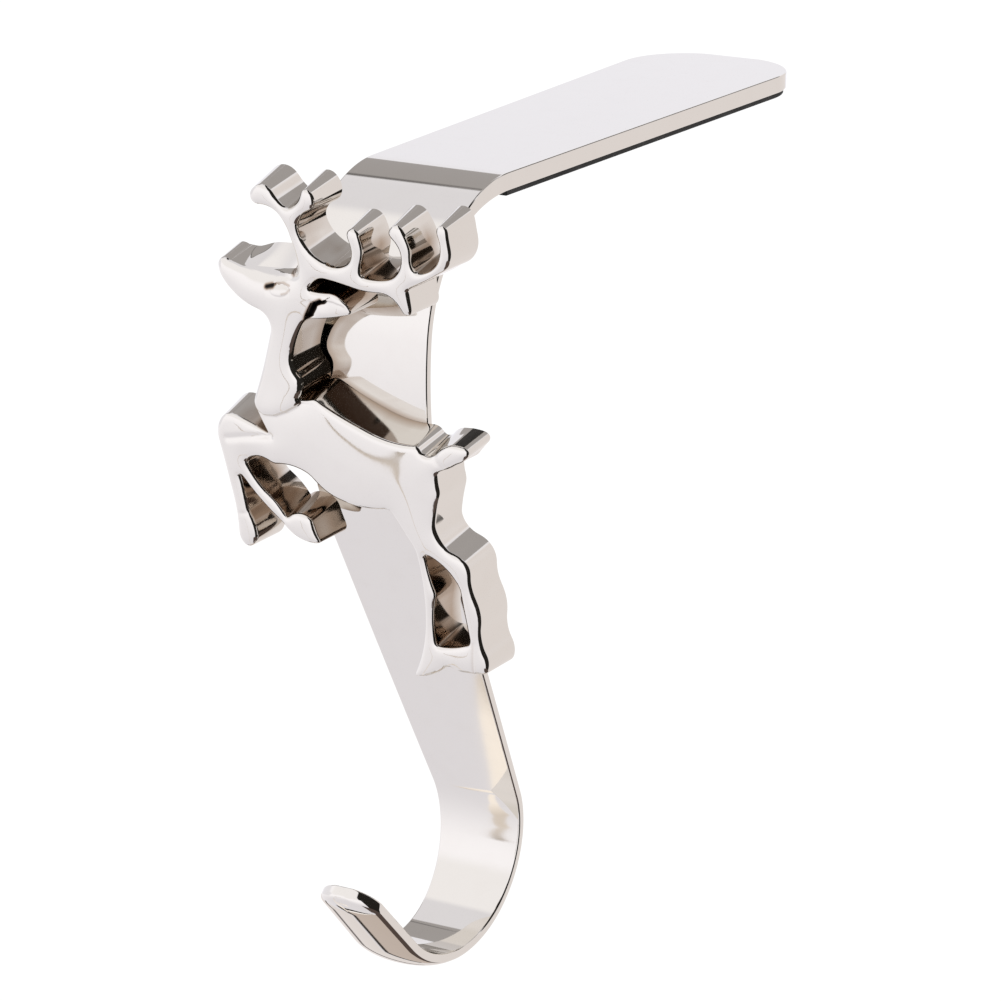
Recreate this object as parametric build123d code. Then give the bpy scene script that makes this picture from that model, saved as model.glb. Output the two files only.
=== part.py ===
from build123d import *
import math
import os

# Mantel stocking holder: a plated bracket that stands on a shelf by its plate and carries a stocking
# on its hook, with a cast reindeer on the bow of the strap. Millimetres, +Z up, the room towards -Y.
# The origin is on the underside of the pad, at the middle of the shelf plate's length.

# Shelf plate and pad
PLATE_LENGTH = 85.6
PLATE_END_WIDTH = 26.4
PLATE_THICKNESS = 2.5
PLATE_CORNER_RADIUS = 10.7
PAD_THICKNESS = 0.8
PAD_INSET = 0.5

# Strap, measured along its front face from the plate to the tip of the hook
BEND_RADIUS = 20.2
BEND_TURN = 86.8
BOW_RADIUS = 58.8
BOW_TURN = 30.5
STRAP_RUN = 48.3
HOOK_RADIUS = 12.8
HOOK_TURN = 97.0
LIP_RADIUS = 15.7
LIP_TURN = 67.0
TIP_RUN = 11.2
STRAP_THICKNESS = 1.3
THINNING_LENGTH = 22.0

# Widths of the strap where each of its stretches begins, and at the tip
BEND_WIDTH = 21.6
BOW_WIDTH = 20.2
RUN_WIDTH = 18.4
HOOK_WIDTH = 14.0
LIP_WIDTH = 11.3
TIP_RUN_WIDTH = 10.0
TIP_WIDTH = 9.4

# Reindeer figure, its back tangent to the bow
FIGURE_HEIGHT = 68.3
FIGURE_DEPTH = 6.6
FIGURE_LEAN = 9.0
WALL_DRAFT = 0.7
EDGE_DROP = 1.05
FACE_INSET = 0.6
SEAT_DEPTH = 0.15
SEAT_CLEARANCE = 0.04

# Two screws from behind the strap, threaded into the figure
SCREW_SPACING = 9.0
SCREW_BELOW_SEAT = 2.5
SCREW_DIAMETER = 2.5
SCREW_LENGTH = 5.0
SCREW_HEAD_DIAMETER = 4.8
SCREW_HEAD_HEIGHT = 1.6
SCREW_HOLE_CLEARANCE = 0.15

PLATE_TOP = PAD_THICKNESS + PLATE_THICKNESS
PLATE_FRONT = -PLATE_LENGTH / 2
NARROW_SHARE = 0.25
STATION_TURN = 10.0

# The strap's stretches: length, turn in degrees and width at the start
STRETCHES = [
    (BEND_RADIUS * math.radians(BEND_TURN), BEND_TURN, BEND_WIDTH),
    (BOW_RADIUS * math.radians(BOW_TURN), BOW_TURN, BOW_WIDTH),
    (STRAP_RUN, 0.0, RUN_WIDTH),
    (HOOK_RADIUS * math.radians(HOOK_TURN), -HOOK_TURN, HOOK_WIDTH),
    (LIP_RADIUS * math.radians(LIP_TURN), -LIP_TURN, LIP_WIDTH),
    (TIP_RUN, 0.0, TIP_RUN_WIDTH),
]
STRAP_LENGTH = sum(length for length, turn, width in STRETCHES)


def strap_point(s):
    """Front face of the strap at distance s: (y, z) and the heading, 0 degrees being straight down."""
    y = PLATE_FRONT
    z = PLATE_TOP
    heading = -90.0
    for length, turn, width in STRETCHES:
        part = max(min(s, length), 0.0)
        start = math.radians(heading)
        swing = math.radians(turn) * part / length
        if turn == 0.0:
            y += part * math.sin(start)
            z -= part * math.cos(start)
        else:
            radius = length / math.radians(turn)
            y += radius * (math.cos(start) - math.cos(start + swing))
            z -= radius * (math.sin(start + swing) - math.sin(start))
        heading += turn * part / length
        s -= length
    return y, z, heading


def strap_width(s):
    """Width of the strap at distance s, running smoothly through the named widths."""
    widths = [width for length, turn, width in STRETCHES] + [TIP_WIDTH]
    marks = [0.0]
    for length, turn, width in STRETCHES:
        marks.append(marks[-1] + length)
    slopes = [(widths[i + 1] - widths[i]) / (marks[i + 1] - marks[i]) for i in range(len(STRETCHES))]
    leans = [slopes[0]] + [(a + b) / 2 for a, b in zip(slopes, slopes[1:])] + [slopes[-1]]
    i = max(k for k in range(len(STRETCHES)) if marks[k] <= s or k == 0)
    span = marks[i + 1] - marks[i]
    t = (s - marks[i]) / span
    return (
        widths[i] * (1 + 2 * t) * (1 - t) ** 2
        + widths[i + 1] * t * t * (3 - 2 * t)
        + span * leans[i] * t * (1 - t) ** 2
        - span * leans[i + 1] * t * t * (1 - t)
    )


def strap_thickness(s):
    """Thickness at distance s: the plate's at the bend, easing into the strap's."""
    t = min(s / THINNING_LENGTH, 1.0)
    return PLATE_THICKNESS + (STRAP_THICKNESS - PLATE_THICKNESS) * t * t * (3 - 2 * t)


def strap_section(s):
    y, z, heading = strap_point(s)
    h = math.radians(heading)
    half = strap_thickness(s) / 2
    middle = (0, y + half * math.cos(h), z + half * math.sin(h))
    across = Plane(origin=middle, x_dir=(1, 0, 0), z_dir=(0, math.sin(h), -math.cos(h)))
    return across * Rectangle(strap_width(s), 2 * half)


def plate_outline(inset):
    """Shelf plate seen from above, drawn in by the given amount."""
    front = BEND_WIDTH / 2 - inset
    back = PLATE_END_WIDTH / 2 - inset
    end = PLATE_FRONT + PLATE_LENGTH - inset
    sheet = make_face(Polyline(
        (-front, PLATE_FRONT), (front, PLATE_FRONT), (back, end), (-back, end), close=True))
    corners = sheet.vertices().sort_by(Axis.Y)[-2:]
    return fillet(corners, PLATE_CORNER_RADIUS - inset)


# Runs of the figure's outline, clockwise from the nose, each a chain of arcs: an end, a point on the way,
# the next end and so on. Right is +X as seen from the room, and the seat on the strap is at (0, 0)
HEAD = [(-16.7, 22.7), (-16.3, 23.4), (-14.8, 23.1), (-11.0, 22.5), (-5.0, 23.1)]
ANTLER_FRONT = [(-5.0, 23.1), (-4.3, 24.8), (-4.7, 27.8), (-5.4, 30.0), (-6.3, 31.3),
                (-7.8, 32.1), (-9.6, 32.1)]
TINE_1 = [(-9.6, 32.1), (-10.4, 33.0), (-9.7, 34.4), (-8.3, 35.0), (-7.0, 34.2), (-5.8, 32.7), (-4.8, 32.0)]
TINE_2 = [(-4.8, 32.0), (-3.6, 32.7), (-2.5, 34.2), (-1.5, 35.1), (-0.9, 34.6), (-0.5, 33.3), (-1.1, 32.3)]
FORK_1 = [(-1.1, 32.3), (-2.8, 31.2), (-3.5, 29.5), (-2.6, 27.2), (-0.8, 25.6), (2.1, 24.9), (4.0, 25.9),
          (4.4, 27.5), (3.9, 29.3)]
TINE_3 = [(3.9, 29.3), (4.7, 30.5), (5.8, 29.5), (6.2, 27.5), (5.9, 26.2), (5.6, 25.1), (5.6, 24.0)]
FORK_2 = [(5.6, 24.0), (8.0, 23.9), (9.9, 24.3), (11.3, 25.6), (11.9, 27.4), (11.4, 29.2), (10.2, 30.3)]
TINE_4 = [(10.2, 30.3), (10.9, 31.6), (11.9, 31.9), (12.8, 30.6), (13.5, 28.3), (13.5, 26.3), (13.9, 25.6)]
FORK_3 = [(13.9, 25.6), (15.2, 25.8), (16.9, 27.0), (17.8, 29.2), (17.6, 31.2)]
TINE_5 = [(17.6, 31.2), (18.4, 32.6), (19.1, 32.1), (19.2, 30.8), (19.4, 28.9), (18.8, 27.1), (17.2, 25.9),
          (14.4, 24.2), (12.5, 23.2)]
TINE_6 = [(12.5, 23.2), (12.6, 21.5), (12.7, 19.9), (12.1, 19.4), (11.2, 20.0)]
BEAM = [(11.2, 20.0), (10.2, 21.4), (8.6, 22.1), (6.8, 22.0), (4.8, 22.1), (1.9, 22.7), (-0.6, 23.0),
        (-1.9, 22.3), (-2.8, 21.1)]
EAR_TOP = [(-2.8, 21.1), (-1.2, 21.0), (0.4, 21.1), (2.4, 20.2), (3.5, 18.5)]
EAR_UNDER = [(3.5, 18.5), (0.0, 17.5), (-3.7, 17.0)]
NAPE = [(-3.7, 17.0), (-5.4, 14.2), (-6.5, 11.2), (-6.2, 9.2), (-5.3, 8.2), (-5.3, 6.8), (-6.2, 5.0)]
WITHERS = [(-6.2, 5.0), (-5.1, 5.1), (-3.9, 5.5)]
BACK = [(-3.9, 5.5), (-0.9, 4.0), (3.3, 2.3), (7.4, 1.2), (11.5, 1.2)]
CROUP = [(11.5, 1.2), (12.6, 0.0), (14.5, 0.8)]
TAIL = [(14.5, 0.8), (16.4, 2.0), (18.5, 2.4), (19.7, 2.2), (19.2, 1.2), (17.2, -0.7), (14.4, -2.0)]
RUMP = [(14.4, -2.0), (14.2, -3.6), (14.4, -5.3), (13.6, -7.9), (13.1, -10.3), (13.9, -12.5), (15.8, -13.9)]
SHANK = [(15.8, -13.9), (17.4, -14.9), (17.9, -16.6), (17.9, -18.5), (18.4, -20.3), (18.9, -22.3),
         (18.7, -24.5)]
HIND_HOOF = [(18.7, -24.5), (18.7, -26.2), (19.0, -27.7), (19.5, -29.4), (19.1, -30.8)]
HOOF_SOLE = [(19.1, -30.8), (16.8, -31.1), (14.6, -31.2)]
HOOF_ARCH = [(14.6, -31.2), (13.6, -30.7), (12.4, -31.2), (10.4, -32.5), (7.6, -33.2)]
HIND_FRONT = [(7.6, -33.2), (9.4, -28.9), (10.2, -24.8), (10.4, -19.8), (9.7, -13.9)]
THIGH = [(9.7, -13.9), (8.0, -11.3), (6.4, -8.7)]
BELLY = [(6.4, -8.7), (2.0, -9.2), (-2.2, -8.4), (-4.2, -7.2), (-5.6, -5.8), (-8.2, -4.9), (-11.4, -5.1),
         (-14.0, -4.3), (-15.7, -5.2)]
FAR_SHIN = [(-15.7, -5.2), (-14.9, -7.1), (-13.4, -9.2), (-11.4, -11.0), (-10.2, -12.9)]
FAR_HOOF_TOP = [(-10.2, -12.9), (-9.2, -12.0), (-6.2, -12.5)]
FAR_HOOF_END = [(-6.2, -12.5), (-5.8, -14.2), (-5.2, -15.8)]
FAR_HOOF_SOLE = [(-5.2, -15.8), (-8.0, -15.7), (-11.0, -13.5)]
FAR_SHIN_FRONT = [(-11.0, -13.5), (-14.3, -10.5), (-17.0, -7.1)]
NEAR_SHIN = [(-17.0, -7.1), (-16.6, -9.8), (-16.3, -12.8), (-15.7, -14.0), (-15.3, -15.6), (-15.8, -17.5),
             (-17.0, -18.3)]
NEAR_SHIN_FRONT = [(-17.0, -18.3), (-18.0, -17.5), (-18.3, -16.2), (-18.3, -12.7), (-18.8, -9.0),
                   (-19.3, -5.6), (-19.8, -2.8), (-19.8, -0.8), (-18.9, 0.8)]
KNEE = [(-18.9, 0.8), (-18.1, 1.3), (-17.1, 1.4), (-14.2, 0.4), (-11.5, -0.8)]
CHEST = [(-11.5, -0.8), (-12.6, 1.4), (-13.5, 3.7)]
THROAT = [(-13.5, 3.7), (-12.3, 6.5), (-11.2, 9.3), (-10.2, 12.2), (-9.4, 14.6), (-9.7, 16.3), (-11.4, 17.4),
          (-14.6, 19.2), (-16.7, 22.7)]
OUTLINE = [
    HEAD, ANTLER_FRONT, TINE_1, TINE_2, FORK_1, TINE_3, FORK_2, TINE_4, FORK_3, TINE_5, TINE_6, BEAM,
    EAR_TOP, EAR_UNDER, NAPE, WITHERS, BACK, CROUP, TAIL, RUMP, SHANK, HIND_HOOF, HOOF_SOLE, HOOF_ARCH,
    HIND_FRONT, THIGH, BELLY, FAR_SHIN, FAR_HOOF_TOP, FAR_HOOF_END, FAR_HOOF_SOLE, FAR_SHIN_FRONT,
    NEAR_SHIN, NEAR_SHIN_FRONT, KNEE, CHEST, THROAT,
]

# The gap between the hind legs, counter-clockwise
SLOT_FRONT = [(11.2, -14.4), (11.6, -17.6), (12.4, -20.2), (11.6, -24.0), (11.7, -27.9)]
SLOT_FOOT = [(11.7, -27.9), (14.4, -27.6), (17.0, -26.6)]
SLOT_BACK = [(17.0, -26.6), (16.5, -22.8), (16.1, -18.6), (13.9, -15.8), (11.2, -14.4)]
HIND_SLOT = [SLOT_FRONT, SLOT_FOOT, SLOT_BACK]

DRAWN_HEIGHT = max(v for run in OUTLINE for u, v in run) - min(v for run in OUTLINE for u, v in run)
FIGURE_SCALE = FIGURE_HEIGHT / DRAWN_HEIGHT


def loop_points(runs):
    return [point for run in runs for point in run[:-1]]


def clear_reach(point, way):
    """Distance from a point of the outline, along a direction, to the next part of the outline."""
    nearest = FIGURE_HEIGHT
    for runs in (OUTLINE, HIND_SLOT):
        loop = loop_points(runs)
        for (ax, ay), (bx, by) in zip(loop, loop[1:] + loop[:1]):
            ex, ey = bx - ax, by - ay
            cross = way[0] * ey - way[1] * ex
            if abs(cross) < 1e-9:
                continue
            gx, gy = ax - point[0], ay - point[1]
            along = (gx * ey - gy * ex) / cross
            part = (gx * way[1] - gy * way[0]) / cross
            if along > 1e-3 and -1e-6 <= part <= 1 + 1e-6:
                nearest = min(nearest, along)
    return nearest


def shifted_wire(runs, amount, level):
    """The outline moved outwards by amount (inwards if negative), less where it is narrow, at a level."""
    loop = loop_points(runs)
    side = math.copysign(1.0, amount)
    ways = []
    for (au, av), (u, v), (bu, bv) in zip(loop[-1:] + loop[:-1], loop, loop[1:] + loop[:1]):
        into = math.hypot(u - au, v - av)
        out = math.hypot(bu - u, bv - v)
        nu = -(v - av) / into - (bv - v) / out
        nv = (u - au) / into + (bu - u) / out
        size = side * math.hypot(nu, nv)
        ways.append((nu / size, nv / size))
    reaches = [clear_reach(point, way) for point, way in zip(loop, ways)]
    moved = []
    for i, ((u, v), way) in enumerate(zip(loop, ways)):
        room = min(reaches[i - 1], reaches[i], reaches[(i + 1) % len(loop)])
        step = min(abs(amount), NARROW_SHARE * room)
        moved.append((FIGURE_SCALE * (u + step * way[0]), FIGURE_SCALE * (v + step * way[1]), level))
    edges = []
    for k in range(0, len(moved), 2):
        edges.append(ThreePointArc(moved[k], moved[k + 1], moved[(k + 2) % len(moved)]))
    return Wire(edges)


def figure_block(runs):
    """Drafted walls from the back to the edge, then a bevel to the face."""
    levels = [
        (WALL_DRAFT, 0.0),
        (0.0, FIGURE_DEPTH - EDGE_DROP),
        (-FACE_INSET, FIGURE_DEPTH),
    ]
    return Solid.make_loft([shifted_wire(runs, amount, level) for amount, level in levels], ruled=True)


# Bracket: plate, strap and rounded tip
plate = Pos(0, 0, PAD_THICKNESS) * extrude(plate_outline(0.0), PLATE_THICKNESS)
stations = []
distance = 0.0
for length, turn, width in STRETCHES:
    steps = max(3, round(abs(turn) / STATION_TURN))
    stations += [distance + length * k / steps for k in range(steps)]
    distance += length
stations.append(STRAP_LENGTH)
strap = loft([strap_section(s) for s in stations])
tip_y, tip_z, tip_heading = strap_point(STRAP_LENGTH)
tip_turn = math.radians(tip_heading)
tip_plane = Plane(
    origin=(0, tip_y, tip_z), x_dir=(1, 0, 0), z_dir=(0, math.cos(tip_turn), math.sin(tip_turn)))
tip = extrude(tip_plane * Circle(TIP_WIDTH / 2), STRAP_THICKNESS)
bracket = plate + strap + tip

# Figure, in a plane that leans with the bow and with a hollow seat in its back that fits the bow
seat_s = STRETCHES[0][0] + BOW_RADIUS * math.radians(90.0 - BEND_TURN + FIGURE_LEAN)
seat_y, seat_z, seat_heading = strap_point(seat_s)
lean = math.radians(FIGURE_LEAN)
facing = Vector(0, -math.cos(lean), -math.sin(lean))
seat = Plane(origin=(0, seat_y, seat_z), x_dir=(1, 0, 0), z_dir=facing)
block = figure_block(OUTLINE) - figure_block(HIND_SLOT)
bow_space = Cylinder(BOW_RADIUS + SEAT_CLEARANCE, 2 * FIGURE_HEIGHT, rotation=(0, 90, 0))
figure = seat * (Pos(0, 0, -SEAT_DEPTH) * block) - seat * Pos(0, 0, -BOW_RADIUS) * bow_space

# Screws: heads bedded in the back of the strap, shanks in the figure
screws = []
for side in (-1, 1):
    spot = seat * Pos(side * SCREW_SPACING / 2, -SCREW_BELOW_SEAT, -STRAP_THICKNESS)
    reach = (Align.CENTER, Align.CENTER, Align.MIN)
    head = Pos(0, 0, -SCREW_HEAD_HEIGHT) * Cylinder(SCREW_HEAD_DIAMETER / 2, SCREW_HEAD_HEIGHT, align=reach)
    shank = Cylinder(SCREW_DIAMETER / 2, SCREW_LENGTH, align=reach)
    hole = Cylinder(SCREW_DIAMETER / 2 + SCREW_HOLE_CLEARANCE, SCREW_LENGTH, align=reach)
    screws.append(spot * (head + shank))
    bracket -= spot * hole
    bracket -= spot * head
for screw in screws:
    figure -= screw

pad = extrude(plate_outline(PAD_INSET), PAD_THICKNESS)

os.makedirs("parts", exist_ok=True)
export_step(bracket, "parts/bracket.step")
export_step(figure, "parts/reindeer_figure.step")
export_step(pad, "parts/non_slip_pad.step")
export_step(Compound(children=screws), "parts/fixing_screws.step")
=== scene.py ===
import math

import bmesh
import bpy
import numpy as np
from bpy.props import FloatProperty, FloatVectorProperty, PointerProperty
from mathutils import Matrix, Vector
from mathutils.bvhtree import BVHTree
from mathutils.geometry import delaunay_2d_cdt
from mathutils.kdtree import KDTree


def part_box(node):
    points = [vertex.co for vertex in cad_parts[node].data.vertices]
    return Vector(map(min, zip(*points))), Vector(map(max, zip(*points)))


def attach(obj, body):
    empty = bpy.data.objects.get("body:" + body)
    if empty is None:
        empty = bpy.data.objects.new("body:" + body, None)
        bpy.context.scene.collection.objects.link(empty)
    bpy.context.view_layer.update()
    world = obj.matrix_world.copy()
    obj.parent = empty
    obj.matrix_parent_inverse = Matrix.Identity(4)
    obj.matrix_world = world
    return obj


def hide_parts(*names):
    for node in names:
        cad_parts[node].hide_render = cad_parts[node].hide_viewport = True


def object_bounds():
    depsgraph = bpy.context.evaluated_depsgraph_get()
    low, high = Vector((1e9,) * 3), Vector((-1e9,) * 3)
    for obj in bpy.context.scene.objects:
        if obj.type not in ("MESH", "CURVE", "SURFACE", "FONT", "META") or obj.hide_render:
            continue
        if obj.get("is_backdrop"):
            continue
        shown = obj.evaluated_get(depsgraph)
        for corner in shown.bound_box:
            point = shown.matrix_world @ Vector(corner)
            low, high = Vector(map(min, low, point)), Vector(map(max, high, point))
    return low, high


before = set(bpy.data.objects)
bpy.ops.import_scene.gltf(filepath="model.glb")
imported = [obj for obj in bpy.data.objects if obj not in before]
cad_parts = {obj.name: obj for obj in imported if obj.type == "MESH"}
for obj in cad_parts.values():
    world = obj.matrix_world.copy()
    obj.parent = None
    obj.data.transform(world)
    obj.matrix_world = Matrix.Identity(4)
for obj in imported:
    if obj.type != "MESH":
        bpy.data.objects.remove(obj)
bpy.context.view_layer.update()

bl_info = {
    "name": "Mantel stocking holder",
    "version": (1, 0, 0),
    "blender": (4, 5, 0),
    "location": "View3D > Sidebar > Stocking holder",
    "description": "Dresses the packed stocking holder: bracket, reindeer, pad, screws and studio",
    "category": "Object",
}

MM = 0.001
WELD = 1e-7
BRACKET_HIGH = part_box("bracket")[1]
PAD_LOW, PAD_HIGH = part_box("non_slip_pad")
PLATE_TOP = BRACKET_HIGH.z
PLATE_FRONT = PAD_LOW.y
PLATE_END = BRACKET_HIGH.y


def length(name, description, mm):
    """A size in metres, stated in millimetres."""
    return FloatProperty(
        name=name, description=description, default=mm * MM, min=0.0, precision=5, unit="LENGTH")


def angle(name, description, degrees):
    return FloatProperty(
        name=name, description=description, default=math.radians(degrees), subtype="ANGLE")


def share(name, description, value):
    return FloatProperty(
        name=name, description=description, default=value, min=0.0, max=1.0, subtype="FACTOR")


def colour(name, description, value):
    return FloatVectorProperty(
        name=name, description=description, default=value, min=0.0, subtype="COLOR")


class BracketSizes(bpy.types.PropertyGroup):
    """Sizes of the plate, the strap and the hook."""

    end_width: length("Plate end width", "Width of the plate at its back end", 26.4)
    corner_radius: length("Corner radius", "Radius of the plate's back corners", 10.7)
    plate_thickness: length("Plate thickness", "Thickness of the plate", (PLATE_TOP - PAD_HIGH.z) / MM)
    strap_thickness: length("Strap thickness", "Thickness of the strap below the bend", 1.3)
    thinning: length("Thinning length", "Stretch in which the plate thins to the strap", 22.0)
    bend_radius: length("Bend radius", "Radius of the bend at the shelf's edge", 20.2)
    bend_turn: angle("Bend turn", "Turn of the bend at the shelf's edge", 86.8)
    bow_radius: length("Bow radius", "Radius of the bow that carries the figure", 58.8)
    bow_turn: angle("Bow turn", "Turn of the bow that carries the figure", 30.5)
    run: length("Straight run", "Straight stretch between the bow and the hook", 48.3)
    hook_radius: length("Hook radius", "Radius of the back of the hook", 12.8)
    hook_turn: angle("Hook turn", "Turn of the back of the hook", 97.0)
    lip_radius: length("Lip radius", "Radius of the front of the hook", 15.7)
    lip_turn: angle("Lip turn", "Turn of the front of the hook", 67.0)
    tip_run: length("Tip run", "Straight stretch up to the rounded tip", 11.6)
    tip_depth: length("Tip depth", "Length of the rounded tip", 3.8)
    bend_width: length("Bend width", "Width where the bend begins", 21.6)
    bow_width: length("Bow width", "Width where the bow begins", 20.2)
    run_width: length("Run width", "Width where the straight run begins", 18.4)
    hook_width: length("Hook width", "Width where the hook begins", 14.0)
    lip_width: length("Lip width", "Width where the lip begins", 11.3)
    tip_run_width: length("Tip run width", "Width where the tip's run begins", 10.0)
    tip_width: length("Tip width", "Width of the rounded tip", 9.4)
    lip_crown: length("Lip crown", "Height of the round outside of the lip", 1.1)
    crown_rise: length("Crown rise", "Stretch of the lip in which its crown begins", 9.0)
    edge_round: length("Edge round", "Radius along the edges of plate and strap", 0.28)
    pad_round: length("Pad round", "Radius along the edges of the pad", 0.15)


class FigureSizes(bpy.types.PropertyGroup):
    """Sizes of the cast reindeer."""

    edge_drop: length("Edge drop", "How far the outline lies behind the face", 1.05)
    wall_draft: length("Wall draft", "How far the walls spread towards the back", 0.7)
    edge_radius: length("Edge radius", "Width over which the edge of the face rounds over", 0.8)
    crown: length("Crown", "How much the face still rises towards the middle of a broad part", 0.5)
    crown_width: length("Crown width", "Width over which the crown rises", 2.2)
    softness: length("Softness", "Width below which a part counts as narrow", 0.6)
    brow_drop: length("Brow drop", "How far the rounded forehead falls back", 2.0)
    snout_lead: length("Snout lead", "How far the tip of the snout is led forwards", 0.9)
    snout_drop: length("Snout drop", "How far the edge lies back round the snout", 0.9)
    brow_lean: length("Brow lean", "How far the forehead leans back", 1.5)
    ruff_rise: length("Ruff rise", "How far the ruff stands out of the neck", 0.32)
    ruff_fall: length("Ruff fall", "How far the body lies below the ruff", 0.5)
    eye_depth: length("Eye depth", "Depth of the eye's socket", 0.26)
    spacing: length("Mesh spacing", "Distance between points of the face", 0.24)
    ring_spacing: length("Ring spacing", "Distance between points along the outline", 0.2)


class ScrewSizes(bpy.types.PropertyGroup):
    """Sizes of the screws behind the strap."""

    head_diameter: length("Head diameter", "Diameter of a screw's head", 4.8)
    head_height: length("Head height", "Height of a screw's head", 1.6)
    shank_diameter: length("Shank diameter", "Diameter of a screw's shank", 2.5)
    slot_length: length("Slot length", "Length of each arm of the cross slot, end to end", 2.9)
    slot_width: length("Slot width", "Width of each arm of the cross slot", 0.75)
    slot_depth: length("Slot depth", "Depth of the cross slot", 0.9)


class Finishes(bpy.types.PropertyGroup):
    """Colours and gloss of the materials."""

    plating: colour("Plating", "Colour of the polished plating", (0.76, 0.73, 0.685))
    # Recess colour, mixed in where the walls are shut in and in the face's deepest marks: partly real
    # dulling of the plating, mostly painted shade
    tarnish_and_shade: colour("Tarnish and shade", "Colour of the plating in recesses", (0.45, 0.36, 0.285))
    plating_roughness: share("Plating roughness", "Roughness of the polished plating", 0.045)
    pad: colour("Pad", "Colour of the pad", (0.018, 0.017, 0.017))
    screw: colour("Screw", "Colour of the screws", (0.62, 0.61, 0.6))


class StageSizes(bpy.types.PropertyGroup):
    """Camera and studio."""

    azimuth: angle("Azimuth", "Camera's turn to the right of the front", 30.36)
    elevation: angle("Elevation", "Camera's height above the horizon", 17.39)
    distance: length("Distance", "From the camera to the point it looks at", 533.3)
    lens: FloatProperty(name="Lens", description="Focal length in millimetres", default=143.86, min=1.0)
    floor_gap: length("Floor gap", "From the hook down to the floor", 172.0)


class HolderSettings(bpy.types.PropertyGroup):
    """All settings of the stocking holder."""

    bracket: PointerProperty(type=BracketSizes)
    figure: PointerProperty(type=FigureSizes)
    screws: PointerProperty(type=ScrewSizes)
    finishes: PointerProperty(type=Finishes)
    stage: PointerProperty(type=StageSizes)


def settings():
    return bpy.context.scene.stocking_holder


# The strap's line

def stretches(b):
    """Length, turn and starting width of each stretch of the strap."""
    return [
        (b.bend_radius * b.bend_turn, b.bend_turn, b.bend_width),
        (b.bow_radius * b.bow_turn, b.bow_turn, b.bow_width),
        (b.run, 0.0, b.run_width),
        (b.hook_radius * b.hook_turn, -b.hook_turn, b.hook_width),
        (b.lip_radius * b.lip_turn, -b.lip_turn, b.lip_width),
        (b.tip_run, 0.0, b.tip_run_width),
    ]


def strap_point(b, s):
    """Front face of the strap at distance s from the plate: (y, z) and the heading, 0 being down."""
    y = PLATE_FRONT
    z = PLATE_TOP
    heading = -math.pi / 2
    if s < 0.0:
        return y - s, z, heading
    for span, turn, width in stretches(b):
        part = min(max(s, 0.0), span)
        swing = turn * part / span
        if turn == 0.0:
            y += part * math.sin(heading)
            z -= part * math.cos(heading)
        else:
            radius = span / turn
            y += radius * (math.cos(heading) - math.cos(heading + swing))
            z -= radius * (math.sin(heading + swing) - math.sin(heading))
        heading += swing
        s -= span
    y += max(s, 0.0) * math.sin(heading)
    z -= max(s, 0.0) * math.cos(heading)
    return y, z, heading


def strap_width(b, s):
    """Width of the strap at distance s, running smoothly through the named widths."""
    pieces = stretches(b)
    widths = [width for span, turn, width in pieces] + [b.tip_width]
    marks = np.concatenate([[0.0], np.cumsum([span for span, turn, width in pieces])])
    if s >= marks[-1]:
        return b.tip_width
    slopes = np.diff(widths) / np.diff(marks)
    leans = np.concatenate([slopes[:1], (slopes[:-1] + slopes[1:]) / 2, slopes[-1:]])
    i = int(np.searchsorted(marks, max(s, 0.0), side="right")) - 1
    span = marks[i + 1] - marks[i]
    t = (s - marks[i]) / span
    return (
        widths[i] * (1 + 2 * t) * (1 - t) ** 2
        + widths[i + 1] * t * t * (3 - 2 * t)
        + span * leans[i] * t * (1 - t) ** 2
        - span * leans[i + 1] * t * t * (1 - t)
    )


def plate_half_width(b, from_end):
    """Half width of the plate at a distance from its back end, with round corners."""
    run = PLATE_END - PLATE_FRONT
    half = b.end_width / 2 + (b.bend_width - b.end_width) / 2 * from_end / run
    lack = max(b.corner_radius - from_end, 0.0)
    return half - b.corner_radius + math.sqrt(b.corner_radius ** 2 - lack ** 2)


# Points on a rounded corner, along the plate and at least on each stretch of the strap, and the turn
# between two points in degrees
CORNER_POINTS = 32
PLATE_POINTS = 40
STRETCH_POINTS = 12
TURN_STEP = 1.5


def bracket_stations(b):
    """Distances along the bracket, closer together where its outline or its line turns."""
    plate_run = PLATE_END - PLATE_FRONT
    quarter = np.linspace(0.0, math.pi / 2, CORNER_POINTS)
    ends = b.corner_radius * (1 - np.cos(quarter))
    sides = np.linspace(b.corner_radius, plate_run, PLATE_POINTS)[1:-1]
    marks = list(-plate_run + np.concatenate([ends, sides]))
    start = 0.0
    for span, turn, width in stretches(b):
        steps = max(STRETCH_POINTS, int(abs(turn) / math.radians(TURN_STEP)))
        marks += list(np.linspace(start, start + span, steps, endpoint=False))
        start += span
    marks += list(start + b.tip_depth * np.sin(quarter))
    return marks, start


def path_mesh(name, rows):
    """A line of points that carries what the strip needs at each of them."""
    mesh = bpy.data.meshes.new(name)
    mesh.from_pydata([row["point"] for row in rows], [(i, i + 1) for i in range(len(rows) - 1)], [])
    for key in ("half_width", "half_thickness", "crown"):
        values = mesh.attributes.new(key, "FLOAT", "POINT")
        values.data.foreach_set("value", [row.get(key, 0.0) for row in rows])
    back = mesh.attributes.new("back", "FLOAT_VECTOR", "POINT")
    back.data.foreach_set("vector", [c for row in rows for c in row["back"]])
    return bpy.data.objects.new(name, mesh)


def closed_rows(rows):
    """The rows with a point of no size at each end, which closes the strip."""
    shut = {"half_width": 0.0, "half_thickness": 0.0, "crown": 0.0}
    return [dict(rows[0], **shut)] + rows + [dict(rows[-1], **shut)]


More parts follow.
